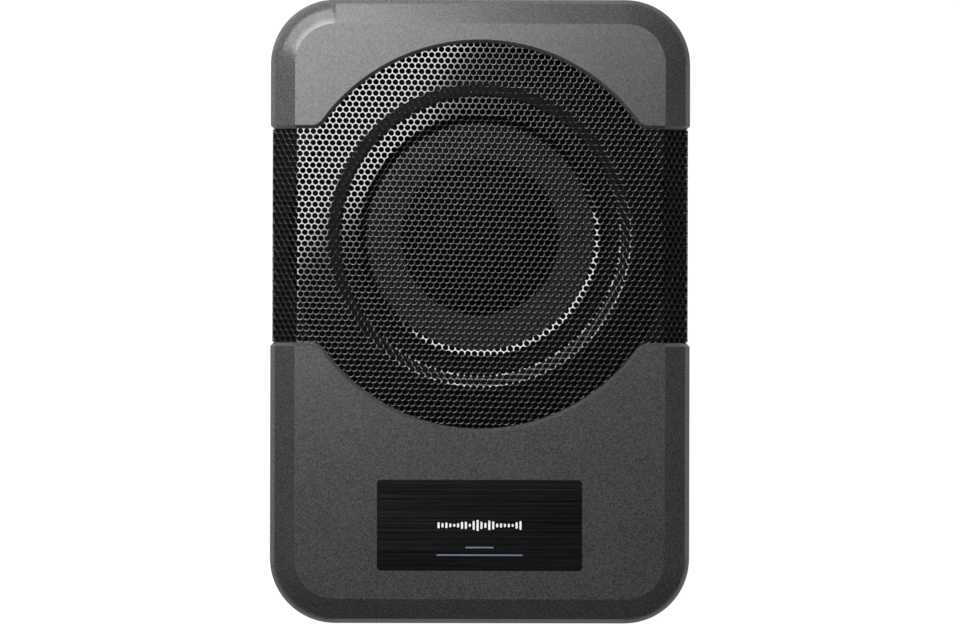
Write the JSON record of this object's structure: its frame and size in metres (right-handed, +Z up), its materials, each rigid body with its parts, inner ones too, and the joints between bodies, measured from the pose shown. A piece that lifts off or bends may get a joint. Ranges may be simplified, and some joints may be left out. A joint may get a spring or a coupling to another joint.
{
  "type": "powered car subwoofer",
  "caption": "Slim rounded powered car subwoofer with a wrap-over perforated grille, bevelled trim covers, finned tub, internal driver and amplifier, and an end control panel.",
  "frame": {"origin": "on the floor under the middle of the case, at the underside of the rubber feet", "axes": "+Z up through the grille, +Y along the case from the control panel's end to the driver's end, +X across the case"},
  "size_m": [0.232, 0.345, 0.078],
  "materials": {
    "tub_casting": "satin black powder coat on die-cast aluminium",
    "seal_foam": "closed-cell foam",
    "housing_plastic": "dark grey moulded plastic",
    "cover_plastic": "fine-grained dark grey",
    "grille_paint": "gloss black paint on perforated steel",
    "badge_metal": "black anodised, brushed lengthways",
    "foot_rubber": "matte",
    "zinc_screw": "black-zinc plated",
    "basket_paint": "satin black paint on pressed steel",
    "surround_rubber": "smooth, slightly glossy",
    "cone_pulp": "coated pulp",
    "cap_gloss": "gloss black",
    "former_film": "amber film",
    "copper_wire": "enamelled winding",
    "spider_cloth": "resin-treated cloth",
    "magnet_steel": "zinc plated",
    "ferrite": "ground ferrite",
    "fibre_board": "laminate",
    "tinned_metal": "tinned",
    "lead_insulation": "vinyl",
    "circuit_board": "solder mask",
    "component_black": "moulded epoxy",
    "capacitor_sleeve": "shrink sleeve",
    "panel_plastic": "fine texture",
    "connector_plastic": "moulded",
    "plated_contact": "gold flash",
    "jack_insert": "pale insulator",
    "control_steel": "bright",
    "knob_plastic": "satin",
    "lamp_clear": "clear, faintly blue"
  },
  "bodies": {
    "case": {"base_tub": "tub_casting", "case_seal": "seal_foam", "upper_housing": "housing_plastic", "upper_trim_cover": "cover_plastic", "lower_trim_cover": "cover_plastic", "grille": "grille_paint", "badge_plate": "badge_metal", "rubber_feet": "foot_rubber", "case_screws": "zinc_screw", "cover_screws": "zinc_screw", "driver_basket": "basket_paint", "flange_seal": "seal_foam", "driver_screws": "zinc_screw", "surround": "surround_rubber", "surround_trim_ring": "seal_foam", "spider": "spider_cloth", "top_plate": "magnet_steel", "magnet": "ferrite", "yoke": "magnet_steel", "terminal_strip": "fibre_board", "terminal_tabs": "tinned_metal", "tinsel_leads": "tinned_metal", "speaker_leads": "lead_insulation", "amplifier_board": "circuit_board", "board_screws": "zinc_screw", "power_transistors": "component_black", "transistor_clamp": "control_steel", "clamp_screws": "zinc_screw", "filter_capacitors": "capacitor_sleeve", "input_choke": "copper_wire", "power_transformer": "component_black", "output_inductors": "component_black", "control_chips": "component_black", "speaker_header": "jack_insert", "control_panel": "panel_plastic", "panel_screws": "zinc_screw", "rca_body": "connector_plastic", "rca_barrels": "plated_contact", "rca_centres": "jack_insert", "power_socket": "connector_plastic", "power_pins": "tinned_metal", "remote_socket": "connector_plastic", "remote_pins": "plated_contact", "gain_pot": "component_black", "crossover_pot": "component_black", "phase_switch_body": "component_black", "lamp_pipe": "lamp_clear"},
    "cone": {"cone": "cone_pulp", "dust_cap": "cap_gloss", "voice_coil_former": "former_film", "voice_coil_winding": "copper_wire"},
    "gain_control": {"gain_knob": "knob_plastic", "gain_shaft": "control_steel"},
    "crossover_control": {"crossover_knob": "knob_plastic", "crossover_shaft": "control_steel"},
    "phase_lever": {"phase_switch_lever": "knob_plastic"}
  },
  "joints": [
    {"name": "cone_travel", "type": "slide", "parent": "case", "child": "cone", "axis": [0, 0, 1], "range_m": [-0.005, 0.005], "stiffness_N_per_m": 3500, "deforming": ["surround", "spider", "tinsel_leads"]},
    {"name": "gain_turn", "type": "hinge", "parent": "case", "child": "gain_control", "pos_m": [0.019, -0.1625, 0.025], "axis": [0, -1, 0], "range_deg": [-150, 150]},
    {"name": "crossover_turn", "type": "hinge", "parent": "case", "child": "crossover_control", "pos_m": [0.036, -0.1625, 0.025], "axis": [0, -1, 0], "range_deg": [-150, 150]},
    {"name": "phase_slide", "type": "slide", "parent": "case", "child": "phase_lever", "axis": [0, 0, 1], "range_m": [0, 0.004]}
  ]
}
